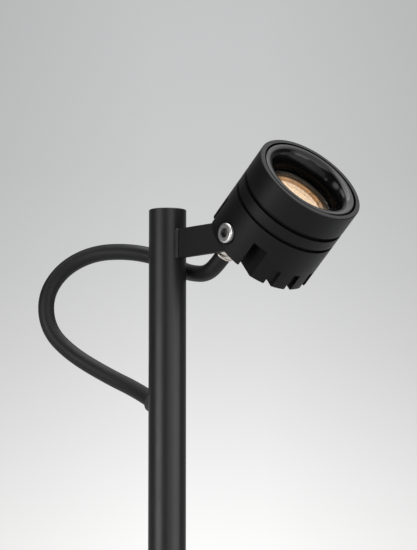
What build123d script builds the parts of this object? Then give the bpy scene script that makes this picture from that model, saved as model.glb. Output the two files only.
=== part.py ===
from build123d import *
import math
import os

os.makedirs("parts", exist_ok=True)

# Garden spot on a post, in millimetres. The origin is the middle of the base's underside, Z is up,
# the arm points along X and the pivot screw's head faces minus Y.

# General fits
press_gap = 0.05
running_gap = 0.05
seat_gap = 0.1
loose_gap = 0.3

# Base
gasket_thickness = 1.5
gasket_inset = 2.0
base_diameter = 130.0
base_thickness = 6.0
base_edge_chamfer = 1.2
base_bolt_circle = 100.0
base_bolt_count = 3
base_bolt_hole = 6.5
base_bolt_head = 12.5
socket_diameter = 32.0
socket_height = 30.0
socket_chamfer = 1.0
set_screw_diameter = 5.0
set_screw_height = 15.0
set_screw_count = 2
set_screw_key = 2.5
set_screw_key_depth = 2.5

# Lead inlet and terminals in the foot of the post
inlet_hole = 13.0
inlet_flange_thickness = 1.5
terminal_length = 24.0
terminal_way_hole = 3.0
terminal_way_circle = 8.0
terminal_screw_diameter = 2.5
terminal_screw_depth = 2.6
terminal_screw_below_top = 6.0
terminal_count = 3

# Post
post_top = 500.0
post_diameter = 20.0
post_wall = 2.0
cap_thickness = 1.5
cap_edge_chamfer = 0.3
cap_stem_length = 10.0
cap_stem_wall = 1.5

# Arm
arm_height = 15.6
arm_thickness = 3.0
pivot_reach = 56.0
pivot_below_top = 19.0
weld_leg = 1.4

# Head: stations run along its axis from the pivot, forwards
head_tilt = 40.0
head_diameter = 60.0
head_above_pivot = 1.0
rear_length = 9.5
rear_chamfer = 0.6
rear_groove_at = 17.4
groove_width = 2.1
groove_depth = 1.6
ring_width = 5.8
collar_length = 14.6
collar_edge_chamfer = 0.35
ear_thickness = 4.6
ear_setback = 1.5
ear_corner = 0.8
washer_thickness = 1.3
washer_diameter = 14.0
fin_slot_width = 4.7
fin_slot_length = 10.4
fin_slot_depth = 1.7
fin_slot_rear_depth = 2.2
fin_slot_inner_diameter = 44.0
fin_slot_pitch = 12.5
first_fin_width = 6.45
fin_slot_count = 3

# Pivot screw
screw_diameter = 6.0
screw_head_diameter = 10.5
screw_head_proud = 2.0
screw_head_edge = 1.0
screw_line_below_face = 1.35
screw_line_width = 0.35
screw_line_depth = 0.3
screw_counterbore = 11.7
screw_counterbore_depth = 2.4
screw_key = 5.0
screw_key_depth = 2.6
screw_grip_depth = 4.6

# Front of the head
spigot_length = 5.7
collar_thread_wall = 1.8
collar_lip_wall = 2.5
cone_lip_gap = 0.6
cone_flange_thickness = 1.2
cone_lip_outer_radius = 1.1
cone_lip_inner_radius = 4.5
cone_lip_flat = 0.3
cone_lip_roll = 66.0
cone_foot_diameter = 39.2
front_glass_diameter = 45.6
front_glass_thickness = 3.0
glass_seal_thickness = 0.8
glass_seal_width = 2.4
cone_gasket_thickness = 0.4
o_ring_width = 1.2
o_ring_depth = 0.8
optic_bore = 40.4

# Light source
carrier_thickness = 4.0
thermal_pad_thickness = 0.3
led_board_diameter = 35.0
led_board_thickness = 1.6
led_emitter_diameter = 12.0
led_emitter_thickness = 1.2
board_screw_diameter = 3.0
board_screw_head = 5.4
board_screw_head_height = 1.8
board_screw_circle = 28.0
board_screw_length = 5.0
lens_diameter = 35.2
lens_flange_diameter = 37.0
lens_flange_thickness = 1.5
lens_nose_length = 0.7
lens_rim_width = 0.3
lens_dish_depth = 1.7
lens_dish_slant = 1.3
lens_foot_diameter = 16.4
lens_pocket_diameter = 12.8
lens_pocket_depth = 3.0
holder_wall = 1.1
holder_lip_thickness = 2.2
holder_rim_width = 0.6
holder_groove_width = 0.5
holder_groove_depth = 0.2
holder_bevel_depth = 1.3

# Driver chamber
rear_wall = 4.0
chamber_depth = 14.0
chamber_diameter = 31.0
gland_to_chamber = 12.6
driver_board_thickness = 1.6
driver_wire_diameter = 1.8
led_wire_diameter = 1.4
led_wire_spacing = 5.0
led_wire_offset = 10.5
wire_hole_diameter = 2.2

# Cable gland
gland_rise = 8.6
gland_to_slot = 8.7
gland_thread = 11.9
gland_hex = 14.0
gland_washer_thickness = 0.8
gland_washer_diameter = 15.0
gland_hex_height = 4.0
gland_neck_diameter = 10.6
gland_neck_length = 2.8
gland_nut_length = 8.2
gland_nut_hex_height = 3.5
gland_rim_diameter = 10.5
gland_rim_width = 0.7
gland_groove_width = 0.5
gland_groove_diameter = 9.9
gland_dome_end_diameter = 10.9
gland_seal_length = 2.6

# Cable
cable_diameter = 8.8
cable_entry_angle = 27.0
cable_entry_z = 397.6
cable_bend_radius = 20.0
loop_first_run = 9.4
loop_last_run = 13.7
grommet_diameter = 12.0
grommet_outside = 1.5
grommet_inside = 2.5

# Places that follow from the sizes
head_radius = head_diameter / 2
post_radius = post_diameter / 2
post_bore_radius = post_radius - post_wall
cable_radius = cable_diameter / 2
cable_bore_radius = cable_radius + press_gap
base_top = gasket_thickness + base_thickness
slot_width = arm_thickness + 2 * washer_thickness
head_offset = head_radius - ear_thickness - slot_width / 2
pivot_z = post_top - pivot_below_top
tilt = math.radians(head_tilt)
forward = Vector(math.cos(tilt), 0, math.sin(tilt))
upward = Vector(-math.sin(tilt), 0, math.cos(tilt))
head_origin = Vector(pivot_reach, head_offset, pivot_z) + upward * head_above_pivot
head_axis = Axis(head_origin, forward)

# Across the head: X is upward, Y is towards the pivot screw's head, Z is forwards
head_plane = Plane(origin=head_origin, x_dir=upward, z_dir=forward)
# Along the head: X is forwards and Y is the radius
head_section = Plane(origin=head_origin, x_dir=forward, z_dir=(0, -1, 0))
# At the crown of the ear, Z points out of the screw's head
ear_plane = Plane(
    origin=(pivot_reach, head_offset - head_radius, pivot_z),
    x_dir=(1, 0, 0),
    z_dir=(0, -1, 0),
)

rear_face = -rear_length
ring_start = rear_groove_at + groove_width
front_groove_at = ring_start + ring_width
collar_start = front_groove_at + groove_width
collar_front = collar_start + collar_length
spigot_end = front_groove_at + spigot_length
thread_radius = head_radius - collar_thread_wall
collar_bore_radius = head_radius - collar_lip_wall
glass_radius = front_glass_diameter / 2
chamber_floor = rear_face + rear_wall
carrier_seat = chamber_floor + chamber_depth
carrier_top = carrier_seat + carrier_thickness
board_seat = carrier_top + thermal_pad_thickness
board_top = board_seat + led_board_thickness
glass_top = spigot_end - 0.2
glass_bottom = glass_top - front_glass_thickness
glass_seat = glass_bottom - glass_seal_thickness
cone_foot = glass_top + cone_gasket_thickness
cone_shoulder = cone_foot + cone_flange_thickness
slot_floor = arm_height / 2 + loose_gap
ear_inner_face = head_offset + slot_width / 2
ear_half_width = math.sqrt(head_radius**2 - ear_inner_face**2)
first_fin_slot = head_offset - slot_width / 2 - first_fin_width - fin_slot_width / 2
fin_slot_places = [(0, first_fin_slot - fin_slot_pitch * n) for n in range(fin_slot_count)]
gland_offset = head_offset - slot_width / 2 - gland_to_slot
chamber_centre = (0, gland_offset - gland_to_chamber)
gland_place = (gland_rise, gland_offset)


def ring(plane, start, length, outer, inner):
    """A plain ring along the plane's normal, in the part that is being built."""
    with BuildSketch(plane.offset(start)) as outline:
        Circle(outer)
        if inner > 0:
            Circle(inner, mode=Mode.SUBTRACT)
    extrude(outline.sketch, amount=length)


def turned(*points):
    """A turned shape from (station, radius) points, in the part that is being built."""
    with BuildSketch(head_section) as outline:
        with BuildLine():
            Polyline(*points, close=True)
        make_face()
    revolve(outline.sketch, axis=head_axis)


def save(built, name):
    """Labels a finished piece and writes it."""
    built.part.label = name
    export_step(built.part, f"parts/{name}.step")


# Base: gasket, plate and post socket
base_holes = PolarLocations(base_bolt_circle / 2, base_bolt_count, start_angle=60)

with BuildPart() as base_gasket:
    with BuildSketch():
        Circle(base_diameter / 2 - gasket_inset)
        Circle(inlet_hole / 2 + gasket_inset, mode=Mode.SUBTRACT)
        with base_holes:
            Circle(base_bolt_hole / 2, mode=Mode.SUBTRACT)
    extrude(amount=gasket_thickness)
save(base_gasket, "base_gasket")

with BuildPart() as base_plate:
    with BuildSketch(Plane.XY.offset(gasket_thickness)):
        Circle(base_diameter / 2)
    extrude(amount=base_thickness)
    chamfer(base_plate.edges().group_by(Axis.Z)[-1], base_edge_chamfer)
    with BuildSketch(Plane.XY.offset(gasket_thickness)):
        Circle(inlet_hole / 2)
    extrude(amount=base_thickness, mode=Mode.SUBTRACT)
    with BuildSketch(Plane.XY.offset(gasket_thickness)):
        with base_holes:
            Circle(base_bolt_hole / 2)
    extrude(amount=base_thickness, mode=Mode.SUBTRACT)
    bolt_hole_edges = base_plate.edges().filter_by(GeomType.CIRCLE).group_by(Axis.Z)[-1]
    bolt_hole_edges = bolt_hole_edges.filter_by(lambda edge: abs(edge.radius - base_bolt_hole / 2) < 0.01)
    chamfer(bolt_hole_edges, (base_bolt_head - base_bolt_hole) / 2)
save(base_plate, "base_plate")

set_screw_plane = Plane.XY.offset(base_top + set_screw_height)
set_screw_angles = [150 + 60 * n for n in range(set_screw_count)]


def set_screw_face(angle, radius):
    """The plane across a set screw, at a radius from the post's axis."""
    turn = math.radians(angle)
    outward = Vector(math.cos(turn), math.sin(turn), 0)
    return Plane(origin=set_screw_plane.origin + outward * radius, z_dir=outward)


with BuildPart() as post_socket:
    ring(Plane.XY, base_top, socket_height, socket_diameter / 2, post_radius + press_gap)
    chamfer(
        post_socket.edges().group_by(Axis.Z)[-1].sort_by(SortBy.LENGTH)[-1],
        socket_chamfer,
    )
    for angle in set_screw_angles:
        with BuildSketch(set_screw_face(angle, post_radius)):
            Circle(set_screw_diameter / 2 + press_gap)
        extrude(amount=socket_diameter / 2, mode=Mode.SUBTRACT)
save(post_socket, "post_socket")

with BuildPart() as set_screws:
    for angle in set_screw_angles:
        with BuildSketch(set_screw_face(angle, post_radius)):
            Circle(set_screw_diameter / 2)
        extrude(amount=(socket_diameter - post_diameter) / 2 - loose_gap)
        with BuildSketch(set_screw_face(angle, socket_diameter / 2 - loose_gap)):
            RegularPolygon(set_screw_key / 2, 6, major_radius=False)
        extrude(amount=-set_screw_key_depth, mode=Mode.SUBTRACT)
save(set_screws, "set_screws")

# Lead inlet and terminal block, inside the foot of the post
inlet_bore_radius = cable_radius + seat_gap

with BuildPart() as inlet_grommet:
    ring(Plane.XY, gasket_thickness, base_thickness, inlet_hole / 2 - press_gap, inlet_bore_radius)
    ring(Plane.XY, base_top, inlet_flange_thickness, post_bore_radius - seat_gap, inlet_bore_radius)
save(inlet_grommet, "inlet_grommet")

terminal_bottom = base_top + inlet_flange_thickness
terminal_top = terminal_bottom + terminal_length
terminal_radius = post_bore_radius - loose_gap
terminal_ways = PolarLocations(terminal_way_circle / 2, terminal_count)
terminal_angles = [360 / terminal_count * n for n in range(terminal_count)]
terminal_screw_z = terminal_top - terminal_screw_below_top


def terminal_screw_face(angle, radius):
    """The plane across a terminal screw, at a radius from the post's axis."""
    turn = math.radians(angle)
    outward = Vector(math.cos(turn), math.sin(turn), 0)
    return Plane(origin=Vector(0, 0, terminal_screw_z) + outward * radius, z_dir=outward)


with BuildPart() as terminal_block:
    ring(Plane.XY, terminal_bottom, terminal_length, terminal_radius, 0)
    with BuildSketch(Plane.XY.offset(terminal_bottom)):
        with terminal_ways:
            Circle(terminal_way_hole / 2)
    extrude(amount=terminal_length - terminal_screw_below_top, mode=Mode.SUBTRACT)
    for angle in terminal_angles:
        with BuildSketch(terminal_screw_face(angle, terminal_radius - terminal_screw_depth)):
            Circle(terminal_screw_diameter / 2 + press_gap)
        extrude(amount=terminal_screw_depth * 2, mode=Mode.SUBTRACT)
save(terminal_block, "terminal_block")

with BuildPart() as terminal_screws:
    for angle in terminal_angles:
        with BuildSketch(terminal_screw_face(angle, terminal_radius - terminal_screw_depth)):
            Circle(terminal_screw_diameter / 2)
        extrude(amount=terminal_screw_depth - loose_gap)
        with BuildSketch(terminal_screw_face(angle, terminal_radius - loose_gap)):
            Rectangle(terminal_screw_diameter, terminal_screw_diameter / 5)
        extrude(amount=-terminal_screw_depth / 4, mode=Mode.SUBTRACT)
save(terminal_screws, "terminal_screws")

# Post, with the slanted hole for the cable on the side away from the arm
entry_turn = math.radians(cable_entry_angle)
entry_direction = Vector(math.cos(entry_turn), 0, -math.sin(entry_turn))
entry_point = Vector(-post_radius, 0, cable_entry_z)
entry_plane = Plane(origin=entry_point, x_dir=(0, 1, 0), z_dir=entry_direction)

with BuildPart() as post_tube:
    ring(Plane.XY, base_top, post_top - cap_thickness - base_top, post_radius, post_bore_radius)
    with BuildSketch(entry_plane.offset(-post_radius)):
        Circle(grommet_diameter / 2 + press_gap)
    extrude(amount=2 * post_radius, mode=Mode.SUBTRACT)
save(post_tube, "post_tube")

with BuildPart() as post_end_cap:
    ring(Plane.XY, post_top - cap_thickness, cap_thickness, post_radius, 0)
    chamfer(post_end_cap.edges().group_by(Axis.Z)[-1], cap_edge_chamfer)
    ring(
        Plane.XY,
        post_top - cap_thickness - cap_stem_length,
        cap_stem_length,
        post_bore_radius - press_gap,
        post_bore_radius - press_gap - cap_stem_wall,
    )
save(post_end_cap, "post_end_cap")

with BuildPart() as cable_grommet:
    ring(
        entry_plane,
        -grommet_outside,
        grommet_outside + grommet_inside,
        grommet_diameter / 2,
        cable_bore_radius,
    )
save(cable_grommet, "cable_grommet")

# Arm and its welds
arm_plane = Plane(origin=(0, arm_thickness / 2, pivot_z), x_dir=(1, 0, 0), z_dir=(0, -1, 0))

with BuildPart() as arm_plate:
    with BuildSketch(arm_plane):
        with Locations((pivot_reach / 2, 0)):
            Rectangle(pivot_reach, arm_height)
        with Locations((pivot_reach, 0)):
            Circle(arm_height / 2)
            Circle(screw_diameter / 2 + running_gap, mode=Mode.SUBTRACT)
    extrude(amount=arm_thickness)
    with BuildSketch(Plane.XY.offset(pivot_z - arm_height)):
        Circle(post_radius)
    extrude(amount=2 * arm_height, mode=Mode.SUBTRACT)
save(arm_plate, "arm_plate")

weld_root = math.sqrt(post_radius**2 - (arm_thickness / 2) ** 2)

with BuildPart() as arm_welds:
    with BuildSketch(Plane.XY.offset(pivot_z - arm_height / 2)):
        for side in (1, -1):
            with BuildLine():
                Polyline(
                    (weld_root - weld_leg, side * arm_thickness / 2),
                    (weld_root + weld_leg, side * arm_thickness / 2),
                    (weld_root - weld_leg / 2, side * (arm_thickness / 2 + 1.5 * weld_leg)),
                    close=True,
                )
            make_face()
        Circle(post_radius, mode=Mode.SUBTRACT)
    extrude(amount=arm_height)
save(arm_welds, "arm_welds")

# Heat sink body: rear shell with the fin slots, the ear and the slot for the arm
gland_seat = rear_face - gland_washer_thickness
o_ring_start = collar_start + o_ring_width

with BuildPart() as heat_sink_body:
    turned(
        (rear_face, 0),
        (rear_face, head_radius - rear_chamfer),
        (rear_face + rear_chamfer, head_radius),
        (rear_groove_at, head_radius),
        (rear_groove_at, head_radius - groove_depth),
        (ring_start, head_radius - groove_depth),
        (ring_start, head_radius),
        (front_groove_at, head_radius),
        (front_groove_at, thread_radius),
        (o_ring_start, thread_radius),
        (o_ring_start, thread_radius - o_ring_depth - press_gap),
        (o_ring_start + o_ring_width + seat_gap, thread_radius - o_ring_depth - press_gap),
        (o_ring_start + o_ring_width + seat_gap, thread_radius),
        (spigot_end, thread_radius),
        (spigot_end, glass_radius + seat_gap),
        (glass_seat, glass_radius + seat_gap),
        (glass_seat, optic_bore / 2),
        (carrier_seat, optic_bore / 2),
        (carrier_seat, 0),
    )
    with BuildSketch(head_plane.offset(chamber_floor)):
        with Locations(chamber_centre):
            Circle(chamber_diameter / 2)
        with Locations(gland_place):
            Circle(gland_thread / 2 + press_gap)
    extrude(amount=chamber_depth, mode=Mode.SUBTRACT)
    with BuildSketch(head_plane.offset(rear_face)):
        with Locations(gland_place):
            Circle(gland_thread / 2 + press_gap)
    extrude(amount=rear_wall, mode=Mode.SUBTRACT)
    with BuildSketch(head_plane.offset(rear_face)):
        with Locations((0, head_offset)):
            Rectangle(head_diameter, slot_width)
    extrude(amount=slot_floor - rear_face, mode=Mode.SUBTRACT)
    with BuildSketch(head_plane.offset(rear_face)):
        with Locations(*fin_slot_places):
            Rectangle(head_diameter, fin_slot_width)
        Circle(head_radius - fin_slot_depth, mode=Mode.SUBTRACT)
    extrude(amount=fin_slot_length, mode=Mode.SUBTRACT)
    with BuildSketch(head_plane.offset(rear_face)):
        with Locations(*fin_slot_places):
            Rectangle(head_diameter, fin_slot_width)
        Circle(fin_slot_inner_diameter / 2, mode=Mode.SUBTRACT)
    extrude(amount=fin_slot_rear_depth, mode=Mode.SUBTRACT)
    with BuildSketch(head_section.offset(ear_inner_face)):
        with Locations((rear_face, 0)):
            Rectangle(2 * (ear_setback + ear_corner), head_diameter)
        with Locations((rear_face + ear_setback, 0)):
            RectangleRounded(
                head_diameter,
                2 * ear_half_width,
                ear_corner,
                align=(Align.MIN, Align.CENTER),
                mode=Mode.SUBTRACT,
            )
    extrude(amount=ear_thickness, mode=Mode.SUBTRACT)
    with BuildSketch(ear_plane.offset(head_radius)):
        Circle(screw_counterbore / 2)
    extrude(amount=-(head_radius + screw_counterbore_depth), mode=Mode.SUBTRACT)
    with BuildSketch(ear_plane):
        Circle(screw_diameter / 2 + press_gap)
    extrude(
        amount=-(ear_thickness + slot_width + screw_grip_depth + loose_gap), mode=Mode.SUBTRACT
    )
save(heat_sink_body, "heat_sink_body")

# Pivot screw and the friction washers on both sides of the arm
with BuildPart() as pivot_screw:
    with BuildSketch(ear_plane.offset(-screw_counterbore_depth)):
        Circle(screw_head_diameter / 2)
    extrude(amount=screw_counterbore_depth + screw_head_proud)
    fillet(pivot_screw.edges().sort_by(Axis.Y)[0], screw_head_edge)
    with BuildSketch(ear_plane.offset(screw_head_proud - screw_line_below_face)):
        Circle(screw_head_diameter / 2)
        Circle(screw_head_diameter / 2 - screw_line_depth, mode=Mode.SUBTRACT)
    extrude(amount=-screw_line_width, mode=Mode.SUBTRACT)
    with BuildSketch(ear_plane.offset(screw_head_proud)):
        RegularPolygon(screw_key / 2, 6, major_radius=False)
    extrude(amount=-screw_key_depth, mode=Mode.SUBTRACT)
    with BuildSketch(ear_plane.offset(-screw_counterbore_depth)):
        Circle(screw_diameter / 2)
    extrude(
        amount=-(ear_thickness + slot_width + screw_grip_depth - screw_counterbore_depth)
    )
save(pivot_screw, "pivot_screw")

washer_places = (
    -ear_thickness - washer_thickness,
    -ear_thickness - slot_width,
)

with BuildPart() as friction_washers:
    for place in washer_places:
        ring(
            ear_plane,
            place,
            washer_thickness,
            washer_diameter / 2,
            screw_diameter / 2 + press_gap,
        )
save(friction_washers, "friction_washers")

# Front collar with its sealing ring
with BuildPart() as front_collar:
    turned(
        (collar_start, thread_radius + press_gap),
        (collar_start, head_radius - collar_edge_chamfer),
        (collar_start + collar_edge_chamfer, head_radius),
        (collar_front - collar_edge_chamfer, head_radius),
        (collar_front, head_radius - collar_edge_chamfer),
        (collar_front, collar_bore_radius),
        (cone_shoulder + seat_gap, collar_bore_radius),
        (cone_shoulder + seat_gap, thread_radius + press_gap),
    )
save(front_collar, "front_collar")

with BuildPart() as collar_seal:
    ring(
        head_plane,
        o_ring_start + seat_gap / 2,
        o_ring_width,
        thread_radius,
        thread_radius - o_ring_depth,
    )
save(collar_seal, "collar_seal")

# Anti-glare cone: a skirt behind the collar, a rounded lip and a wall that curves down to its foot
cone_outer = collar_bore_radius - cone_lip_gap
lip_start = cone_outer - cone_lip_outer_radius - cone_lip_flat
lip_roll = math.radians(cone_lip_roll)
wall_start = (
    collar_front - cone_lip_inner_radius * (1 - math.cos(lip_roll)),
    lip_start - cone_lip_inner_radius * math.sin(lip_roll),
)
wall_end = (cone_foot, cone_foot_diameter / 2)
wall_step = (wall_start[0] - wall_end[0]) / 2
wall_middle = (wall_start[0] - wall_step, wall_start[1] - wall_step / math.tan(lip_roll))

with BuildPart() as anti_glare_cone:
    with BuildSketch(head_section):
        with BuildLine():
            Polyline(
                wall_end,
                (cone_foot, thread_radius - seat_gap),
                (cone_shoulder, thread_radius - seat_gap),
                (cone_shoulder, cone_outer),
                (collar_front - cone_lip_outer_radius, cone_outer),
            )
            RadiusArc(
                (collar_front - cone_lip_outer_radius, cone_outer),
                (collar_front, cone_outer - cone_lip_outer_radius),
                cone_lip_outer_radius,
            )
            Line((collar_front, cone_outer - cone_lip_outer_radius), (collar_front, lip_start))
            RadiusArc((collar_front, lip_start), wall_start, cone_lip_inner_radius)
            Bezier(wall_start, wall_middle, wall_end)
        make_face()
    revolve(axis=head_axis)
save(anti_glare_cone, "anti_glare_cone")

with BuildPart() as cone_gasket:
    ring(
        head_plane,
        glass_top,
        cone_gasket_thickness,
        glass_radius,
        glass_radius - glass_seal_width,
    )
save(cone_gasket, "cone_gasket")

with BuildPart() as front_glass:
    ring(head_plane, glass_bottom, front_glass_thickness, glass_radius, 0)
save(front_glass, "front_glass")

with BuildPart() as glass_seal:
    ring(head_plane, glass_seat, glass_seal_thickness, glass_radius, glass_radius - glass_seal_width)
save(glass_seal, "glass_seal")

# Lens and its holder
lens_shoulder = glass_bottom - loose_gap - holder_lip_thickness - seat_gap
lens_front = lens_shoulder + lens_nose_length
lens_dish = lens_front - lens_dish_depth
lens_dish_top = lens_diameter / 2 - lens_rim_width

with BuildPart() as lens:
    turned(
        (lens_dish, 0),
        (lens_dish, lens_dish_top - lens_dish_slant),
        (lens_front, lens_dish_top),
        (lens_front, lens_diameter / 2),
        (lens_shoulder, lens_diameter / 2),
        (lens_shoulder, lens_flange_diameter / 2),
        (lens_shoulder - lens_flange_thickness, lens_flange_diameter / 2),
        (board_top, lens_foot_diameter / 2),
        (board_top, lens_pocket_diameter / 2),
        (board_top + lens_pocket_depth, lens_pocket_diameter / 2 - 1),
        (board_top + lens_pocket_depth, 0),
    )
save(lens, "lens")

holder_outer = optic_bore / 2 - loose_gap
holder_inner = holder_outer - holder_wall
holder_seat = lens_shoulder + seat_gap
holder_top = holder_seat + holder_lip_thickness
holder_bore = lens_diameter / 2 + loose_gap
holder_groove_outer = holder_outer - holder_rim_width
holder_groove_inner = holder_groove_outer - holder_groove_width

with BuildPart() as lens_holder:
    turned(
        (carrier_top, holder_outer),
        (holder_top, holder_outer),
        (holder_top, holder_groove_outer),
        (holder_top - holder_groove_depth, holder_groove_outer - holder_groove_depth),
        (holder_top - holder_groove_depth, holder_groove_inner + holder_groove_depth),
        (holder_top, holder_groove_inner),
        (holder_top, (holder_groove_inner + holder_bore) / 2),
        (holder_top - holder_bevel_depth, holder_bore),
        (holder_seat, holder_bore),
        (holder_seat, holder_inner),
        (carrier_top, holder_inner),
    )
save(lens_holder, "lens_holder")

# Light source on its carrier
board_screw_places = PolarLocations(board_screw_circle / 2, 2, start_angle=0)
led_wire_places = [
    (side * led_wire_spacing / 2, -led_wire_offset) for side in (1, -1)
]

with BuildPart() as led_carrier:
    ring(head_plane, carrier_seat, carrier_thickness, optic_bore / 2 - seat_gap, 0)
    with BuildSketch(head_plane.offset(carrier_seat)):
        with board_screw_places:
            Circle(board_screw_diameter / 2 + press_gap)
        with Locations(*led_wire_places):
            Circle(wire_hole_diameter / 2)
    extrude(amount=carrier_thickness, mode=Mode.SUBTRACT)
save(led_carrier, "led_carrier")

with BuildPart() as thermal_pad:
    with BuildSketch(head_plane.offset(carrier_top)):
        Circle(led_board_diameter / 2)
        with board_screw_places:
            Circle(board_screw_diameter / 2 + press_gap, mode=Mode.SUBTRACT)
        with Locations(*led_wire_places):
            Circle(wire_hole_diameter / 2, mode=Mode.SUBTRACT)
    extrude(amount=thermal_pad_thickness)
save(thermal_pad, "thermal_pad")

with BuildPart() as led_board:
    with BuildSketch(head_plane.offset(board_seat)):
        Circle(led_board_diameter / 2)
        with board_screw_places:
            Circle(board_screw_diameter / 2 + press_gap, mode=Mode.SUBTRACT)
        with Locations(*led_wire_places):
            Circle(wire_hole_diameter / 2, mode=Mode.SUBTRACT)
    extrude(amount=led_board_thickness)
save(led_board, "led_board")

with BuildPart() as led_emitter:
    ring(head_plane, board_top, led_emitter_thickness, led_emitter_diameter / 2, 0)
save(led_emitter, "led_emitter")

with BuildPart() as board_screws:
    with BuildSketch(head_plane.offset(board_top)):
        with board_screw_places:
            Circle(board_screw_head / 2)
    extrude(amount=board_screw_head_height)
    with BuildSketch(head_plane.offset(board_top)):
        with board_screw_places:
            Circle(board_screw_diameter / 2)
    extrude(amount=-board_screw_length)
save(board_screws, "board_screws")

# Driver in the chamber behind the carrier
driver_seat = chamber_floor + loose_gap
driver_top = driver_seat + driver_board_thickness

with BuildPart() as driver_board:
    with BuildSketch(head_plane.offset(driver_seat)):
        with Locations(chamber_centre):
            Circle(chamber_diameter / 2 - loose_gap)
        with Locations(gland_place):
            Circle(gland_thread / 2, mode=Mode.SUBTRACT)
    extrude(amount=driver_board_thickness)
save(driver_board, "driver_board")

# Each driver part is a place from the gland's axis, a width, a depth and a height: transformer,
# capacitor block, chip
driver_blocks = [
    ((-14.6, -12.6), 9.0, 10.0, 8.0),
    ((-2.6, -14.6), 7.0, 6.0, 7.0),
    ((-14.1, -4.1), 5.0, 4.0, 1.4),
]
capacitor_place = (gland_rise - 3.6, gland_offset - 7.6)
capacitor_diameter = 6.0
capacitor_height = 9.0

with BuildPart() as driver_parts:
    for place, width, depth, height in driver_blocks:
        with BuildSketch(head_plane.offset(driver_top)):
            with Locations((gland_rise + place[0], gland_offset + place[1])):
                Rectangle(width, depth)
        extrude(amount=height)
    with BuildSketch(head_plane.offset(driver_top)):
        with Locations(capacitor_place):
            Circle(capacitor_diameter / 2)
    extrude(amount=capacitor_height)
save(driver_parts, "driver_parts")

with BuildPart() as led_wires:
    with BuildSketch(head_plane.offset(driver_top)):
        with Locations(*led_wire_places):
            Circle(led_wire_diameter / 2)
    extrude(amount=board_top - driver_top)
save(led_wires, "led_wires")

# Cores of the cable, from the jacket's end over to the driver board
core_ends = [(-9.6, -3.1), (-8.6, 0.9), (2.4, -11.1)]
core_starts = [(-2.1, -0.8), (0.4, 2.2), (1.7, -1.4)]
core_rise = chamber_floor + 11.0
core_bend = 1.9

with BuildPart() as driver_wires:
    for start, end in zip(core_starts, core_ends):
        x1 = gland_rise + start[0]
        y1 = gland_offset + start[1]
        x2 = gland_rise + end[0]
        y2 = gland_offset + end[1]
        route_points = [
            head_plane.from_local_coords((x1, y1, chamber_floor)),
            head_plane.from_local_coords((x1, y1, core_rise)),
            head_plane.from_local_coords((x2, y2, core_rise)),
            head_plane.from_local_coords((x2, y2, driver_top)),
        ]
        with BuildLine() as core_route:
            FilletPolyline(*route_points, radius=core_bend)
        with BuildSketch(Plane(origin=core_route.line @ 0, z_dir=core_route.line % 0)):
            Circle(driver_wire_diameter / 2)
        sweep(path=core_route.line)
save(driver_wires, "driver_wires")

# Cable gland on the rear face: seal washer, body, nut and clamping ring
gland_hex_back = gland_seat - gland_hex_height
gland_back = gland_hex_back - gland_nut_length
gland_plane = Plane(
    origin=head_plane.from_local_coords((gland_rise, gland_offset, 0)),
    x_dir=upward,
    z_dir=forward,
)
gland_section = Plane(origin=gland_plane.origin, x_dir=forward, z_dir=(0, -1, 0))
gland_axis = Axis(gland_plane.origin, forward)

with BuildPart() as gland_washer:
    ring(
        gland_plane,
        gland_seat,
        gland_washer_thickness,
        gland_washer_diameter / 2,
        gland_thread / 2 + press_gap,
    )
save(gland_washer, "gland_washer")

with BuildPart() as gland_body:
    with BuildSketch(gland_plane.offset(gland_hex_back)):
        RegularPolygon(gland_hex / 2, 6, major_radius=False)
    extrude(amount=gland_hex_height)
    ring(gland_plane, gland_seat, chamber_floor - gland_seat, gland_thread / 2, 0)
    ring(
        gland_plane,
        gland_hex_back - gland_neck_length,
        gland_neck_length,
        gland_neck_diameter / 2,
        0,
    )
    with BuildSketch(gland_plane.offset(gland_back)):
        Circle(cable_bore_radius)
    extrude(amount=chamber_floor - gland_back, mode=Mode.SUBTRACT)
save(gland_body, "gland_body")

nut_front = gland_hex_back - seat_gap
nut_hex_back = nut_front - gland_nut_hex_height
rim_front = gland_back + gland_rim_width
groove_front = rim_front + gland_groove_width
nut_cavity_back = gland_hex_back - gland_neck_length - gland_seal_length
nut_cavity_radius = gland_neck_diameter / 2 + press_gap

with BuildPart() as gland_nut:
    with BuildSketch(gland_section):
        with BuildLine():
            Polyline(
                (gland_back, 0),
                (gland_back, gland_rim_diameter / 2),
                (rim_front, gland_rim_diameter / 2),
                (rim_front, gland_groove_diameter / 2),
                (groove_front, gland_groove_diameter / 2),
                (groove_front, gland_dome_end_diameter / 2),
            )
            ThreePointArc(
                (groove_front, gland_dome_end_diameter / 2),
                (
                    (groove_front * 0.55 + nut_hex_back * 0.45),
                    gland_hex / 2 * 0.62 + gland_dome_end_diameter / 2 * 0.38,
                ),
                (nut_hex_back, gland_hex / 2),
            )
            Polyline((nut_hex_back, gland_hex / 2), (nut_hex_back, 0), (gland_back, 0))
        make_face()
    revolve(axis=gland_axis)
    with BuildSketch(gland_plane.offset(nut_hex_back)):
        RegularPolygon(gland_hex / 2, 6, major_radius=False)
    extrude(amount=gland_nut_hex_height)
    with BuildSketch(gland_plane.offset(gland_back)):
        Circle(cable_bore_radius)
    extrude(amount=gland_nut_length, mode=Mode.SUBTRACT)
    with BuildSketch(gland_plane.offset(nut_cavity_back)):
        Circle(nut_cavity_radius)
    extrude(amount=nut_front - nut_cavity_back, mode=Mode.SUBTRACT)
save(gland_nut, "gland_nut")

with BuildPart() as gland_seal:
    ring(
        gland_plane,
        nut_cavity_back,
        gland_seal_length - seat_gap,
        gland_neck_diameter / 2,
        cable_bore_radius,
    )
save(gland_seal, "gland_seal")

with BuildPart() as head_cable:
    ring(gland_plane, gland_back, chamber_floor - gland_back, cable_radius, 0)
save(head_cable, "head_cable")

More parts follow.
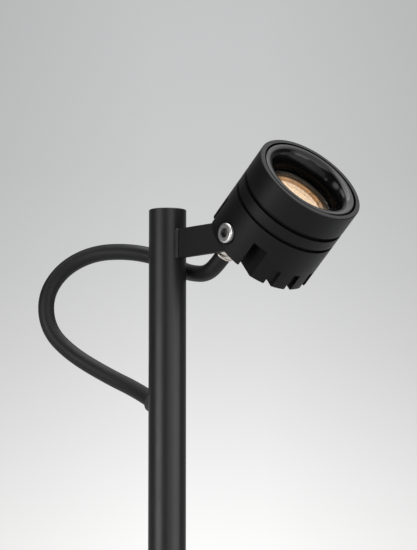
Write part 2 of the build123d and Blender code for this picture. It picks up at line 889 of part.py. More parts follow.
# Free loop of the cable, from the gland round the back of the post to the grommet
loop_start = gland_plane.from_local_coords((0, 0, gland_back))
loop_end = entry_point - entry_direction * grommet_outside
loop_points = [
    loop_start,
    loop_start - forward * loop_first_run,
    Vector(16.4, 12.6, 465.2),
    Vector(5.3, 14.7, 466.5),
    Vector(-5.8, 16.5, 469.1),
    Vector(-21.2, 13.4, 477.6),
    Vector(-36.2, 2.8, 481.8),
    Vector(-56.3, -6.0, 481.9),
    Vector(-70.2, -16.1, 473.4),
    Vector(-75.9, -23.6, 458.2),
    Vector(-74.8, -22.0, 440.0),
    Vector(-64.7, -13.8, 426.5),
    Vector(-44.6, -4.5, 413.8),
    loop_end - entry_direction * loop_last_run,
    loop_end,
]


def bend_radii(points):
    """One radius for each corner of a route: 0.45 of its shorter run over the tangent of half its turn."""
    radii = []
    for before, corner, after in zip(points, points[1:], points[2:]):
        arriving = corner - before
        leaving = after - corner
        half_turn = math.radians(arriving.get_angle(leaving)) / 2
        shorter = min(arriving.length, leaving.length)
        radii.append(0.45 * shorter / math.tan(half_turn))
    return radii


loop_radii = bend_radii(loop_points)
print("loop bend radii:", [round(radius, 1) for radius in loop_radii])

with BuildPart() as cable_loop:
    with BuildLine() as loop_route:
        FilletPolyline(*loop_points, radius=loop_radii)
    with BuildSketch(Plane(origin=loop_route.line @ 0, z_dir=loop_route.line % 0)):
        Circle(cable_radius)
    sweep(path=loop_route.line)
save(cable_loop, "cable_loop")

loop_length = sum(edge.length for edge in loop_route.line.edges())
loop_section = math.pi * cable_radius**2
print("loop length:", round(loop_length, 1))
print("loop volume over section times length:", round(cable_loop.part.volume / loop_section / loop_length, 4))

# Cable inside the post: in through the grommet and down to the terminal block
hang_x = post_bore_radius - cable_radius - loose_gap
hang_run = (hang_x + post_radius) / math.cos(entry_turn)
hang_corner = entry_point + entry_direction * hang_run

with BuildPart() as post_cable:
    with BuildLine() as post_route:
        FilletPolyline(
            loop_end,
            hang_corner,
            Vector(hang_x, 0, terminal_top),
            radius=cable_bend_radius,
        )
    with BuildSketch(Plane(origin=post_route.line @ 0, z_dir=post_route.line % 0)):
        Circle(cable_radius)
    sweep(path=post_route.line)
save(post_cable, "post_cable")

post_length = sum(edge.length for edge in post_route.line.edges())
print("cable inside the post:", round(post_length, 1))
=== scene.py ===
import math

import bmesh
import bpy
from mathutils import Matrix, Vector


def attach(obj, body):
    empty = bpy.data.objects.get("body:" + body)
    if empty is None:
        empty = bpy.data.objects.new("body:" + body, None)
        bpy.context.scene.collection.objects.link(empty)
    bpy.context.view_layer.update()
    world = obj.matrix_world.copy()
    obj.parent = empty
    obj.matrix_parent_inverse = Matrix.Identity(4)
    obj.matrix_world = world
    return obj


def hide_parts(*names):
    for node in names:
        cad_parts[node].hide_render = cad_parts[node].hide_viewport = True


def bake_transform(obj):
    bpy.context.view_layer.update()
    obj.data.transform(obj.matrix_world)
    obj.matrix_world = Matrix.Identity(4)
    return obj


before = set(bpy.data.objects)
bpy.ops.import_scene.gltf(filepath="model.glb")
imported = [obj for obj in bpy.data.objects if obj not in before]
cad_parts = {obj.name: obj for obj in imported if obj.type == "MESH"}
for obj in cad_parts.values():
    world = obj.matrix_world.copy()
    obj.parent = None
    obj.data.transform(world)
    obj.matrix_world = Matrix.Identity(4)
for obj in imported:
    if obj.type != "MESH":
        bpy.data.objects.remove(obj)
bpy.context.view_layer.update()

scene = bpy.context.scene
MM = 0.001

# The head's own frame, as in the CAD: stations run forwards along its axis, which passes 1 mm above
# the point of the pivot's axis that has the same y
TILT = math.radians(40.0)
FORWARD = Vector((math.cos(TILT), 0.0, math.sin(TILT)))
UPWARD = Vector((-math.sin(TILT), 0.0, math.cos(TILT)))
TOWARDS_SCREW = Vector((0.0, -1.0, 0.0))
HEAD_ABOVE_PIVOT = 1.0
PIVOT = Vector((56.0, 22.6, 481.0)) * MM
HEAD_ORIGIN = PIVOT + UPWARD * HEAD_ABOVE_PIVOT * MM


def at_head(up, side, station):
    """A point of the head, from millimetres upward, towards the screw and along the axis."""
    return HEAD_ORIGIN + (UPWARD * up + TOWARDS_SCREW * side + FORWARD * station) * MM


# Camera at the photograph's angle
AZIMUTH = math.radians(48.765)
LOOK_UP = math.radians(7.091)
FOCAL_PX = 2789.1
PICTURE_HEIGHT = 550
SENSOR = 36.0

camera_data = bpy.data.cameras.new("camera")
camera_data.sensor_width = SENSOR
camera_data.lens = FOCAL_PX / PICTURE_HEIGHT * SENSOR
camera_data.clip_start = 0.05
camera_data.clip_end = 50.0
camera = bpy.data.objects.new("camera", camera_data)
camera.location = (1.1236, -0.9558, 0.2816)
camera.rotation_euler = (math.pi / 2 + LOOK_UP, 0.0, AZIMUTH)
scene.collection.objects.link(camera)
scene.camera = camera


# Node helpers
class Nodes:
    """A material's or world's node tree. An input given as a socket is linked, any other is set."""

    def __init__(self, tree):
        self.tree = tree
        tree.nodes.clear()

    def add(self, kind, inputs=None, **settings):
        node = self.tree.nodes.new(kind)
        for key, value in settings.items():
            setattr(node, key, value)
        for key, value in (inputs or {}).items():
            socket = node.inputs[key]
            if isinstance(value, bpy.types.NodeSocket):
                self.tree.links.new(value, socket)
            else:
                socket.default_value = value
        return node

    def feed(self, shader, **sources):
        """Links a source to each named input of a shader, with underscores for the spaces."""
        for name, source in sources.items():
            self.tree.links.new(source, shader.inputs[name.replace("_", " ")])

    def math(self, operation, a, b=0.0):
        return self.add("ShaderNodeMath", {0: a, 1: b}, operation=operation).outputs[0]

    def vector(self, operation, a, b=(0.0, 0.0, 0.0)):
        return self.add("ShaderNodeVectorMath", {0: a, 1: b}, operation=operation)

    def scale(self, vector, factor):
        node = self.add("ShaderNodeVectorMath", {0: vector, "Scale": factor}, operation="SCALE")
        return node.outputs[0]

    def ramp(self, value, stops):
        """Colours by value, from (place, colour) stops."""
        node = self.add("ShaderNodeValToRGB", {"Fac": value})
        ramp = node.color_ramp
        while len(ramp.elements) > 1:
            ramp.elements.remove(ramp.elements[-1])
        ramp.elements[0].position = stops[0][0]
        ramp.elements[0].color = (*stops[0][1][:3], 1.0)
        for place, colour in stops[1:]:
            ramp.elements.new(place).color = (*colour[:3], 1.0)
        return node.outputs["Color"]

    def spread(self, value, low, high, to_low=0.0, to_high=1.0):
        """The value mapped from one range to another, and held at the range's ends."""
        return self.add(
            "ShaderNodeMapRange",
            {"Value": value, "From Min": low, "From Max": high, "To Min": to_low, "To Max": to_high},
        ).outputs["Result"]

    def mix(self, factor, a, b):
        return self.add(
            "ShaderNodeMix", {"Factor": factor, "A": a, "B": b}, data_type="RGBA"
        ).outputs["Result"]


def grey(value, warmth=0.0):
    """A neutral colour, or one slightly warmer or colder."""
    return (value * (1 + warmth), value, value * (1 - warmth), 1.0)


def surface(name, **sockets):
    """A material with its own Principled shader: (material, nodes, shader, object coordinates)."""
    material = bpy.data.materials.new(name)
    material.use_nodes = True
    n = Nodes(material.node_tree)
    out = n.add("ShaderNodeOutputMaterial")
    shader = n.add("ShaderNodeBsdfPrincipled", sockets)
    n.tree.links.new(shader.outputs[0], out.inputs["Surface"])
    coordinates = n.add("ShaderNodeTexCoord").outputs["Object"]
    return material, n, shader, coordinates


def noise(n, coordinates, size_mm, detail=2.0, roughness=0.5):
    """Noise whose features are about size_mm wide."""
    return n.add(
        "ShaderNodeTexNoise",
        {"Vector": coordinates, "Scale": 1.0 / (size_mm * MM), "Detail": detail, "Roughness": roughness},
    ).outputs["Fac"]


def bump(n, shader, height, depth_mm):
    """Relief on a shader, depth_mm deep where the height goes from 0 to 1."""
    node = n.add("ShaderNodeBump", {"Height": height, "Distance": depth_mm * MM, "Strength": 1.0})
    n.feed(shader, Normal=node.outputs["Normal"])


def coated(name, dark, light, rough_low, rough_high, grain_mm, grain_depth_mm, sheen=0.5):
    """A coated or moulded surface: fine grain, slight cloudiness in colour and gloss."""
    material, n, shader, co = surface(name, IOR=1.5)
    shader.inputs["Specular IOR Level"].default_value = sheen
    cloud = noise(n, co, 14.0, 3.0)
    grain = noise(n, co, grain_mm, 2.0, 0.6)
    colour = n.mix(cloud, grey(dark), grey(light))
    rough = n.spread(n.math("ADD", cloud, grain), 0.6, 1.4, rough_low, rough_high)
    n.feed(shader, Base_Color=colour, Roughness=rough)
    bump(n, shader, grain, grain_depth_mm)
    return material


def along_head(n, co):
    """(station along the head's axis, radius from it) in metres, for a head material."""
    local = n.vector("SUBTRACT", co, tuple(HEAD_ORIGIN)).outputs[0]
    station = n.vector("DOT_PRODUCT", local, tuple(FORWARD)).outputs["Value"]
    along = n.scale(tuple(FORWARD), station)
    across = n.vector("SUBTRACT", local, along).outputs[0]
    return station, n.vector("LENGTH", across).outputs["Value"]


def turned_lines(n, radius, pitch_mm):
    """A wave across the radius, from -1 to 1, like the marks that a lathe leaves."""
    return n.math("SINE", n.math("MULTIPLY", radius, 2 * math.pi / (pitch_mm * MM)))


def metal(name, colour, rough_low, rough_high):
    """Bare or plated metal with a slight cloudiness and a fine grain."""
    material, n, shader, co = surface(name, Metallic=1.0)
    cloud = noise(n, co, 3.0, 3.0)
    grain = noise(n, co, 0.4, 2.0, 0.6)
    darker = tuple(c * 0.82 for c in colour[:3]) + (1.0,)
    rough = n.spread(cloud, 0.3, 0.7, rough_low, rough_high)
    n.feed(shader, Base_Color=n.mix(cloud, darker, colour), Roughness=rough)
    bump(n, shader, grain, 0.004)
    return material


post_coat = coated("post_powder_coat", 0.0040, 0.0060, 0.36, 0.44, 0.35, 0.010, 0.42)
head_coat = coated("head_coating", 0.0026, 0.0040, 0.38, 0.46, 0.22, 0.006, 0.18)
rubber = coated("black_rubber", 0.014, 0.020, 0.55, 0.70, 0.5, 0.010)
jacket = coated("cable_jacket", 0.0050, 0.0075, 0.46, 0.58, 0.4, 0.008, 0.28)
washer_plastic = coated("washer_plastic", 0.030, 0.040, 0.45, 0.55, 0.3, 0.006)
black_steel = metal("black_steel", (0.06, 0.06, 0.062, 1.0), 0.30, 0.42)
bare_aluminium = metal("bare_aluminium", (0.78, 0.78, 0.79, 1.0), 0.28, 0.40)
brass = metal("brass", (0.80, 0.62, 0.32, 1.0), 0.25, 0.38)
nickel = metal("nickel_plate", (0.74, 0.69, 0.62, 1.0), 0.16, 0.28)
white_plastic = coated("white_plastic", 0.62, 0.70, 0.40, 0.50, 0.5, 0.006)
grey_pad = coated("grey_pad", 0.30, 0.38, 0.60, 0.75, 0.4, 0.010)
board_white = coated("board_white", 0.70, 0.78, 0.35, 0.45, 0.4, 0.004)
component_black = coated("component_black", 0.030, 0.045, 0.40, 0.55, 0.4, 0.006)
wire_brown = coated("wire_insulation", 0.055, 0.075, 0.35, 0.45, 0.5, 0.004)


def circuit_material():
    """Green board with a pattern like its tracks."""
    material, n, shader, co = surface("circuit_green", Roughness=0.4)
    cells = n.add("ShaderNodeTexVoronoi", {"Vector": co, "Scale": 700.0}, distance="MANHATTAN")
    track = n.ramp(cells.outputs["Distance"], [(0.0, (0.05, 0.30, 0.12)), (0.35, (0.015, 0.12, 0.05))])
    n.feed(shader, Base_Color=track)
    bump(n, shader, cells.outputs["Distance"], 0.02)
    return material


def emitter_material():
    """Yellow phosphor with fine specks."""
    material, n, shader, co = surface("emitter_yellow", Roughness=0.5)
    speck = noise(n, co, 0.3, 2.0)
    n.feed(shader, Base_Color=n.mix(speck, (0.75, 0.50, 0.08, 1.0), (0.90, 0.66, 0.16, 1.0)))
    bump(n, shader, speck, 0.01)
    return material


def cone_material():
    """Glossy black moulding with a very slight waviness; its reflection is turned down at its foot and on
    its lip, as painted shade deep in the cone and a dimmed highlight on the lip.
    """
    material, n, shader, co = surface("cone_gloss", IOR=1.5)
    station = along_head(n, co)[0]
    # Painted shade: the reflection level drops towards the cone's foot, and somewhat on its lip
    sheen = n.ramp(
        n.spread(station, 32.0 * MM, 42.0 * MM),
        [(0.05, grey(0.015)), (0.55, grey(0.40)), (0.78, grey(0.42)), (0.93, grey(0.22))],
    )
    n.feed(shader, Specular_IOR_Level=sheen)
    cloud = noise(n, co, 9.0, 2.0)
    fine = noise(n, co, 0.6, 1.0)
    rough = n.spread(fine, 0.3, 0.7, 0.13, 0.17)
    n.feed(shader, Base_Color=n.mix(cloud, grey(0.0030), grey(0.0045)), Roughness=rough)
    bump(n, shader, cloud, 0.02)
    return material


def holder_material():
    """Dark anodised ring with turned lines."""
    material, n, shader, co = surface("holder_grey", Metallic=1.0)
    line = turned_lines(n, along_head(n, co)[1], 1.05)
    shade = n.spread(line, -1.0, 1.0)
    rough = n.spread(shade, 0.0, 1.0, 0.28, 0.40)
    n.feed(shader, Base_Color=n.mix(shade, grey(0.060, 0.03), grey(0.150, 0.03)), Roughness=rough)
    bump(n, shader, line, 0.05)
    return material


# Pivot screw: the y of its face, and the radius of its key socket, in mm
SCREW_FACE = -9.4
SOCKET_RADIUS = 3.0


def steel_material():
    """Stainless screw, turned: faint rings on its face, and painted shade that darkens its key socket."""
    material, n, shader, co = surface("stainless", Metallic=1.0)
    local = n.vector("SUBTRACT", co, tuple(PIVOT)).outputs[0]
    flat = n.vector("MULTIPLY", local, (1.0, 0.0, 1.0)).outputs[0]
    radius = n.vector("LENGTH", flat).outputs["Value"]
    line = turned_lines(n, radius, 0.25)
    cloud = noise(n, co, 1.2, 2.0)
    steel_tone = n.mix(cloud, grey(0.66, 0.02), grey(0.72, 0.02))
    away = n.add("ShaderNodeSeparateXYZ", {"Vector": co}).outputs["Y"]
    # Painted shade: within the socket's radius, the colour darkens to grey 0.20 with depth below the
    # screw's face
    painted_shade_by_depth = n.spread(away, (SCREW_FACE + 0.2) * MM, (SCREW_FACE + 1.3) * MM)
    within = n.spread(radius, (SOCKET_RADIUS + 0.05) * MM, (SOCKET_RADIUS - 0.05) * MM)
    colour = n.mix(n.math("MULTIPLY", painted_shade_by_depth, within), steel_tone, grey(0.20))
    n.feed(shader, Base_Color=colour, Roughness=n.spread(cloud, 0.3, 0.7, 0.27, 0.33))
    bump(n, shader, line, 0.003)
    return material


def glass_material():
    """Clear glass with a faint smear."""
    material, n, shader, co = surface("clear_glass", IOR=1.5)
    shader.inputs["Transmission Weight"].default_value = 1.0
    shader.inputs["Specular IOR Level"].default_value = 0.12
    smear = noise(n, co, 12.0, 2.0)
    colour = n.mix(smear, (0.96, 0.98, 0.97, 1.0), (1.0, 1.0, 1.0, 1.0))
    n.feed(shader, Base_Color=colour, Roughness=n.spread(smear, 0.3, 0.7, 0.0, 0.03))
    return material


# Lens: stations along the head's axis and radii, in mm
LENS_FRONT = 25.9
LENS_RADIUS = 17.6
LENS_DISH = 24.2
DISH_RADIUS = 16.0
LENS_SHOULDER = 25.2
FLANGE_BACK = 23.7
FLANGE_RADIUS = 18.5
LENS_FOOT = 14.4
FOOT_RADIUS = 8.2
POCKET_RADIUS = 6.4
POCKET_DEPTH = 3.0
FACET_PITCH = 1.7
FACET_RISE = 0.22


def lens_material():
    """Moulded lens with a painted glow: it emits light itself, warm white in the middle and amber on the
    dish's slant, standing in for the LED's light shining through it.
    """
    material, n, shader, co = surface("warm_lens", IOR=1.49)
    shader.inputs["Emission Strength"].default_value = 1.0
    radius = along_head(n, co)[1]
    # Painted glints: the facet cells make the glow and the base colour lighter towards their middles, and
    # also set the roughness
    cells = n.add("ShaderNodeTexVoronoi", {"Vector": co, "Scale": 780.0}, feature="SMOOTH_F1")
    painted_glint = n.spread(cells.outputs["Distance"], 0.0, 0.75, 1.12, 0.62)
    # Painted glow: the lens emits this by its radius, though it is no lamp; on the slant it is made patchy
    painted_glow = n.ramp(
        n.spread(radius, 0.0, LENS_RADIUS * MM),
        [
            (0.00, (0.90, 0.62, 0.34)),
            (0.70, (0.86, 0.56, 0.29)),
            (0.83, (1.05, 0.78, 0.55)),
            (0.895, (1.00, 0.72, 0.48)),
            (0.912, (0.26, 0.11, 0.035)),
            (0.93, (0.24, 0.11, 0.040)),
            (0.955, (0.46, 0.24, 0.095)),
            (0.975, (0.18, 0.08, 0.028)),
            (1.00, (0.05, 0.020, 0.010)),
        ],
    )
    streaks = n.spread(noise(n, co, 4.0, 2.0), 0.38, 0.62, 0.45, 1.45)
    on_slant = n.spread(radius, (DISH_RADIUS - 0.1) * MM, (DISH_RADIUS + 0.1) * MM)
    patchy = n.spread(on_slant, 0.0, 1.0, 1.0, streaks)
    lit = n.scale(painted_glow, n.math("MULTIPLY", painted_glint, patchy))
    colour = n.mix(painted_glint, (0.20, 0.13, 0.07, 1.0), (0.34, 0.24, 0.14, 1.0))
    rough = n.spread(painted_glint, 0.6, 1.1, 0.10, 0.22)
    n.feed(shader, Emission_Color=lit, Base_Color=colour, Roughness=rough)
    bump(n, shader, cells.outputs["Distance"], 0.10)
    return material


cone_gloss = cone_material()
holder_grey = holder_material()
stainless = steel_material()
clear_glass = glass_material()
warm_lens = lens_material()
circuit_green = circuit_material()
emitter_yellow = emitter_material()

node_materials = {
    "base_gasket": rubber,
    "base_plate": post_coat,
    "post_socket": post_coat,
    "set_screws": black_steel,
    "inlet_grommet": rubber,
    "terminal_block": white_plastic,
    "terminal_screws": brass,
    "post_tube": post_coat,
    "post_end_cap": post_coat,
    "cable_grommet": rubber,
    "arm_plate": post_coat,
    "arm_welds": post_coat,
    "cable_loop": jacket,
    "post_cable": jacket,
    "heat_sink_body": head_coat,
    "front_collar": head_coat,
    "collar_seal": rubber,
    "anti_glare_cone": cone_gloss,
    "cone_gasket": rubber,
    "front_glass": clear_glass,
    "glass_seal": rubber,
    "lens": warm_lens,
    "lens_holder": holder_grey,
    "led_carrier": bare_aluminium,
    "thermal_pad": grey_pad,
    "led_board": board_white,
    "led_emitter": emitter_yellow,
    "board_screws": stainless,
    "driver_board": circuit_green,
    "driver_parts": component_black,
    "led_wires": wire_brown,
    "driver_wires": wire_brown,
    "gland_washer": rubber,
    "gland_body": nickel,
    "gland_nut": nickel,
    "gland_seal": rubber,
    "head_cable": jacket,
    "pivot_screw": stainless,
    "friction_washers": washer_plastic,
}
for name, material in node_materials.items():
    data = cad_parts[name].data
    data.materials.clear()
    data.materials.append(material)


def circle(radius, sides):
    """Points round a circle, as pairs."""
    for k in range(sides):
        a = 2 * math.pi * k / sides
        yield radius * math.cos(a), radius * math.sin(a)


def bridge(mesh, rings):
    """Joins rings of vertices one after the other and closes both ends."""
    for first, second in zip(rings, rings[1:]):
        count = len(first)
        for k in range(count):
            mesh.faces.new((first[k], first[(k + 1) % count], second[(k + 1) % count], second[k]))
    mesh.faces.new(rings[0][::-1])
    mesh.faces.new(rings[-1])
    return mesh


def finish_mesh(mesh, name, material, body, slot_name, *replaced):
    """Turns a bmesh into a smooth-shaded piece that rides on a body and stands for CAD nodes."""
    data = bpy.data.meshes.new(name)
    bmesh.ops.recalc_face_normals(mesh, faces=mesh.faces)
    mesh.to_mesh(data)
    mesh.free()
    for face in data.polygons:
        face.use_smooth = True
    piece = bpy.data.objects.new(name, data)
    scene.collection.objects.link(piece)
    data.materials.append(material)
    if replaced:
        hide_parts(*replaced)
    if body:
        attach(piece, body)
    return piece


# Cable loop: the same route as in the CAD, in metres, as one smooth spline
CABLE_DIAMETER = 8.8 * MM
GLAND_LEAD = 9.4
ENTRY_LEAD = 13.7
ENTRY_OVERLAP = 1.5
GLAND_END = at_head(8.6, 11.1, -22.5)
ENTRY_TURN = math.radians(27.0)
ENTRY_DIRECTION = Vector((math.cos(ENTRY_TURN), 0.0, -math.sin(ENTRY_TURN)))
LOOP_END = Vector((-10.0, 0.0, 397.6)) * MM - ENTRY_DIRECTION * ENTRY_OVERLAP * MM
loop_points = [
    GLAND_END,
    GLAND_END - FORWARD * GLAND_LEAD * MM,
    Vector((16.4, 12.6, 465.2)) * MM,
    Vector((5.3, 14.7, 466.5)) * MM,
    Vector((-5.8, 16.5, 469.1)) * MM,
    Vector((-21.2, 13.4, 477.6)) * MM,
    Vector((-36.2, 2.8, 481.8)) * MM,
    Vector((-56.3, -6.0, 481.9)) * MM,
    Vector((-70.2, -16.1, 473.4)) * MM,
    Vector((-75.9, -23.6, 458.2)) * MM,
    Vector((-74.8, -22.0, 440.0)) * MM,
    Vector((-64.7, -13.8, 426.5)) * MM,
    Vector((-44.6, -4.5, 413.8)) * MM,
    LOOP_END - ENTRY_DIRECTION * ENTRY_LEAD * MM,
    LOOP_END,
]


def spline_line(points, steps):
    """Points along a smooth spline that has the given control points."""
    curve = bpy.data.curves.new("route", "CURVE")
    curve.dimensions = "3D"
    curve.resolution_u = steps
    spline = curve.splines.new("NURBS")
    spline.points.add(len(points) - 1)
    for knot, place in zip(spline.points, points):
        knot.co = (*place, 1.0)
    spline.order_u = 3
    spline.use_endpoint_u = True
    holder = bpy.data.objects.new("route", curve)
    scene.collection.objects.link(holder)
    bpy.context.view_layer.update()
    sampled = bpy.data.meshes.new_from_object(
        holder.evaluated_get(bpy.context.evaluated_depsgraph_get())
    )
    line = [v.co.copy() for v in sampled.vertices]
    bpy.data.objects.remove(holder)
    bpy.data.curves.remove(curve)
    bpy.data.meshes.remove(sampled)
    return line


def tube(line, radius, sides):
    """A closed tube round a line, with its ends capped, as a bmesh."""
    mesh = bmesh.new()
    rings = []
    side = None
    for i, place in enumerate(line):
        before = line[max(i - 1, 0)]
        after = line[min(i + 1, len(line) - 1)]
        along = (after - before).normalized()
        if side is None:
            side = along.orthogonal().normalized()
        side = (side - along * side.dot(along)).normalized()
        other = along.cross(side)
        rings.append([mesh.verts.new(place + side * u + other * v) for u, v in circle(radius, sides)])
    return bridge(mesh, rings)


loop_line = spline_line(loop_points, 16)
cable = finish_mesh(
    tube(loop_line, CABLE_DIAMETER / 2, 40), "cable_loop_tube", jacket, None, "cable_rubber", "cable_loop"
)
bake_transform(cable)


# Lens with a faceted face
def lens_mesh():
    """The lens as a turned, dished form whose face is covered with small domes in a honeycomb."""
    mesh = bmesh.new()
    sides = 168
    face_steps = 68

    def dome(u, v):
        row = round(v / (FACET_PITCH * math.sqrt(3) / 2))
        best = 1e9
        for r in (row - 1, row, row + 1):
            shift = 0.5 if r % 2 else 0.0
            column = round(u / FACET_PITCH - shift)
            for c in (column - 1, column, column + 1):
                du = u - (c + shift) * FACET_PITCH
                dv = v - r * FACET_PITCH * math.sqrt(3) / 2
                best = min(best, du * du + dv * dv)
        return best / (FACET_PITCH / 2) ** 2

    rings = []
    for i in range(1, face_steps + 1):
        rings.append([
            mesh.verts.new(at_head(u, v, LENS_DISH - FACET_RISE * min(dome(u, v), 1.3)))
            for u, v in circle(DISH_RADIUS * i / face_steps, sides)
        ])
    profile = [
        (LENS_DISH, DISH_RADIUS + 0.05),
        (LENS_DISH + 0.80, DISH_RADIUS + 0.45),
        (LENS_DISH + 0.88, DISH_RADIUS + 0.80),
        (LENS_FRONT - 0.06, LENS_RADIUS - 0.36),
        (LENS_FRONT, LENS_RADIUS - 0.30),
        (LENS_FRONT, LENS_RADIUS - 0.04),
        (LENS_FRONT - 0.04, LENS_RADIUS),
        (LENS_SHOULDER, LENS_RADIUS),
        (LENS_SHOULDER, FLANGE_RADIUS),
        (FLANGE_BACK, FLANGE_RADIUS),
        (LENS_FOOT, FOOT_RADIUS),
        (LENS_FOOT, POCKET_RADIUS),
        (LENS_FOOT + POCKET_DEPTH, POCKET_RADIUS - 1.0),
        (LENS_FOOT + POCKET_DEPTH, 0.4),
    ]
    for station, radius in profile:
        rings.append([mesh.verts.new(at_head(u, v, station)) for u, v in circle(radius, sides)])
    return bridge(mesh, rings)


finish_mesh(lens_mesh(), "faceted_lens", warm_lens, "head", "warm_lens", "lens")


# Weld beads along both sides of the arm
ARM_CENTRE = 481.0
ARM_HEIGHT = 15.6
ARM_HALF = 1.5
POST_RADIUS = 10.0
BEAD_SIZE = 1.15
BEAD_STRETCH = 1.15
BEAD_END = 0.02
BEAD_END_SIZE = 0.86
BEAD_IN_POST = 0.25
BEAD_IN_ARM = 0.10
RIPPLE_HEIGHT = 0.10
RIPPLE_COUNT = 12.0


def weld_bead(side):
    """A rippled bead in the corner between the post and one side of the arm."""
    mesh = bmesh.new()
    steps = 96
    across = 9
    root = math.sqrt(POST_RADIUS**2 - ARM_HALF**2)
    rings = []
    for i in range(steps + 1):
        share = i / steps
        z = ARM_CENTRE - ARM_HEIGHT / 2 + 0.05 + (ARM_HEIGHT - 0.1) * share
        size = BEAD_SIZE + RIPPLE_HEIGHT * abs(math.sin(math.pi * share * RIPPLE_COUNT)) ** 0.6
        if share < BEAD_END or share > 1 - BEAD_END:
            size *= BEAD_END_SIZE
        ring = []
        for k in range(across):
            a = math.pi / 2 * k / (across - 1)
            x = root - BEAD_IN_POST + size * math.cos(a)
            y = ARM_HALF - BEAD_IN_ARM + size * BEAD_STRETCH * math.sin(a)
            ring.append(mesh.verts.new(Vector((x, side * y, z)) * MM))
        ring.append(mesh.verts.new(Vector((root - 0.6, side * (ARM_HALF - BEAD_IN_ARM), z)) * MM))
        rings.append(ring)
    return bridge(mesh, rings)


finish_mesh(weld_bead(-1), "weld_bead_front", post_coat, "post", "black_powder_coat", "arm_welds")
finish_mesh(weld_bead(1), "weld_bead_back", post_coat, "post", "black_powder_coat")


# Floor, which is stage, with a plain pale material
FLOOR_REACH = 12.0
floor_mesh = bmesh.new()
corners = [
    floor_mesh.verts.new((x * FLOOR_REACH, y * FLOOR_REACH, 0.0))
    for x, y in ((-1, -1), (1, -1), (1, 1), (-1, 1))
]
floor_mesh.faces.new(corners)
floor_data = bpy.data.meshes.new("floor")
floor_mesh.to_mesh(floor_data)
floor_mesh.free()
floor = bpy.data.objects.new("floor", floor_data)
scene.collection.objects.link(floor)
floor_material, floor_nodes, floor_shader, floor_co = surface("floor_pale", Roughness=0.9)
floor_cloud = noise(floor_nodes, floor_co, 400.0)
floor_nodes.feed(floor_shader, Base_Color=floor_nodes.mix(floor_cloud, grey(0.80), grey(0.82)))
floor_data.materials.append(floor_material)

# World: a studio backdrop for the camera, softer and darker towards the camera's side in reflections
VIEW_SIDE = Vector((math.cos(AZIMUTH), math.sin(AZIMUTH), 0.0))
VIEW_AHEAD = Vector((-math.sin(AZIMUTH), math.cos(AZIMUTH), 0.0))
world = bpy.data.worlds.new("studio")
scene.world = world
world.use_nodes = True
w = Nodes(world.node_tree)
direction = w.add("ShaderNodeTexCoord").outputs["Generated"]
height = w.add("ShaderNodeSeparateXYZ", {"Vector": direction}).outputs["Z"]
level = w.vector("MULTIPLY", direction, (1.0, 1.0, 0.0)).outputs[0]
level = w.vector("NORMALIZE", level).outputs[0]
backdrop = w.ramp(
    w.spread(height, 0.0, 0.4),
    [
        (0.00, grey(1.00, 0.005)),
        (0.07, grey(0.978, 0.005)),
        (0.13, grey(0.898)),
        (0.18, grey(0.82)),
        (0.24, grey(0.733)),
        (0.31, grey(0.658, -0.004)),
        (0.40, grey(0.596, -0.006)),
        (0.60, grey(0.543, -0.008)),
        (1.00, grey(0.504, -0.008)),
    ],
)
aside = w.math("ABSOLUTE", w.vector("DOT_PRODUCT", level, tuple(VIEW_SIDE)).outputs["Value"])
falloff = w.ramp(
    w.spread(aside, 0.0, 0.1),
    [(0.0, grey(1.0)), (0.2, grey(0.995)), (0.45, grey(0.94)), (0.8, grey(0.86))],
)
shaded = w.vector("MULTIPLY", backdrop, falloff).outputs[0]
seen = w.add("ShaderNodeBackground", {"Color": shaded, "Strength": 1.0})
ahead = w.vector("DOT_PRODUCT", level, tuple(VIEW_AHEAD)).outputs["Value"]
mirrored = w.ramp(
    w.spread(ahead, -1.0, 1.0),
    [
        (0.00, grey(0.13)),
        (0.50, grey(0.12)),
        (0.72, grey(0.16)),
        (0.84, grey(0.36)),
        (0.93, grey(0.62)),
        (1.00, grey(0.85)),
    ],
)
higher = w.ramp(
    w.spread(height, 0.0, 0.5),
    [(0.0, grey(1.0)), (0.30, grey(0.58)), (0.60, grey(0.38)), (1.0, grey(0.30))],
)
mirrored = w.vector("MULTIPLY", mirrored, higher).outputs[0]


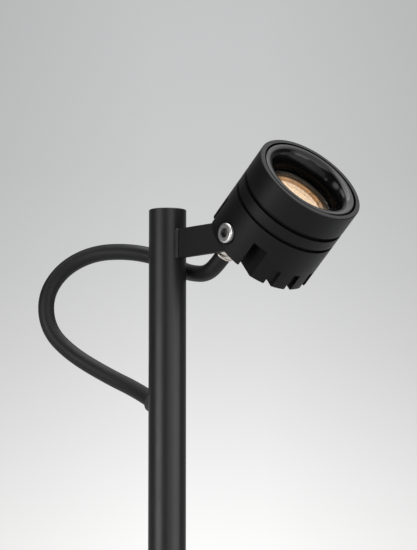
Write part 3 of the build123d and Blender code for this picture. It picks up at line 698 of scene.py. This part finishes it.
def reflected_box(azimuth, elevation, inner, outer, level):
    """A soft patch of light in reflections: full within one angle from its middle, gone beyond another."""
    a, e = math.radians(azimuth), math.radians(elevation)
    middle = (math.cos(a) * math.cos(e), math.sin(a) * math.cos(e), math.sin(e))
    nearness = w.vector("DOT_PRODUCT", direction, middle).outputs["Value"]
    return w.add(
        "ShaderNodeMapRange",
        {
            "Value": nearness,
            "From Min": math.cos(math.radians(outer)),
            "From Max": math.cos(math.radians(inner)),
            "To Max": level,
        },
        interpolation_type="SMOOTHSTEP",
    ).outputs["Result"]


for patch in (
    reflected_box(50, 68, 30, 48, 2.05),
    reflected_box(0, 12, 30, 44, 2.0),
    reflected_box(-97, 33, 8, 15, 1.9),
    reflected_box(-130, 56, 11, 18, 1.8),
):
    mirrored = w.vector("MAXIMUM", mirrored, patch).outputs[0]
glossy = w.add("ShaderNodeBackground", {"Color": mirrored, "Strength": 1.0})
fill = w.add("ShaderNodeBackground", {"Color": (0.96, 0.97, 1.0, 1.0), "Strength": 0.60})
path = w.add("ShaderNodeLightPath").outputs
with_glossy = w.add(
    "ShaderNodeMixShader", {0: path["Is Glossy Ray"], 1: fill.outputs[0], 2: glossy.outputs[0]}
)
direct = w.math("MAXIMUM", path["Is Camera Ray"], path["Is Transmission Ray"])
mixed = w.add("ShaderNodeMixShader", {0: direct, 1: with_glossy.outputs[0], 2: seen.outputs[0]})
w.add("ShaderNodeOutputWorld", {"Surface": mixed.outputs[0]})

# Soft boxes: low, broad ones at both sides of the camera, a larger one overhead
TARGET = Vector((0.03, 0.0, 0.40))


def soft_box(name, place, width, tall, power):
    """An area lamp that faces the object."""
    light = bpy.data.lights.new(name, "AREA")
    light.shape = "RECTANGLE"
    light.size = width
    light.size_y = tall
    light.energy = power
    lamp = bpy.data.objects.new(name, light)
    lamp.location = place
    lamp.rotation_euler = (TARGET - Vector(place)).to_track_quat("-Z", "Y").to_euler()
    scene.collection.objects.link(lamp)


soft_box("left", (-0.06, -1.20, 0.39), 0.75, 0.34, 5.2)
soft_box("right", (1.20, 0.26, 0.33), 0.75, 0.34, 2.0)
soft_box("overhead", (0.25, 0.15, 1.75), 0.9, 0.9, 9.0)

scene.view_settings.view_transform = "Standard"
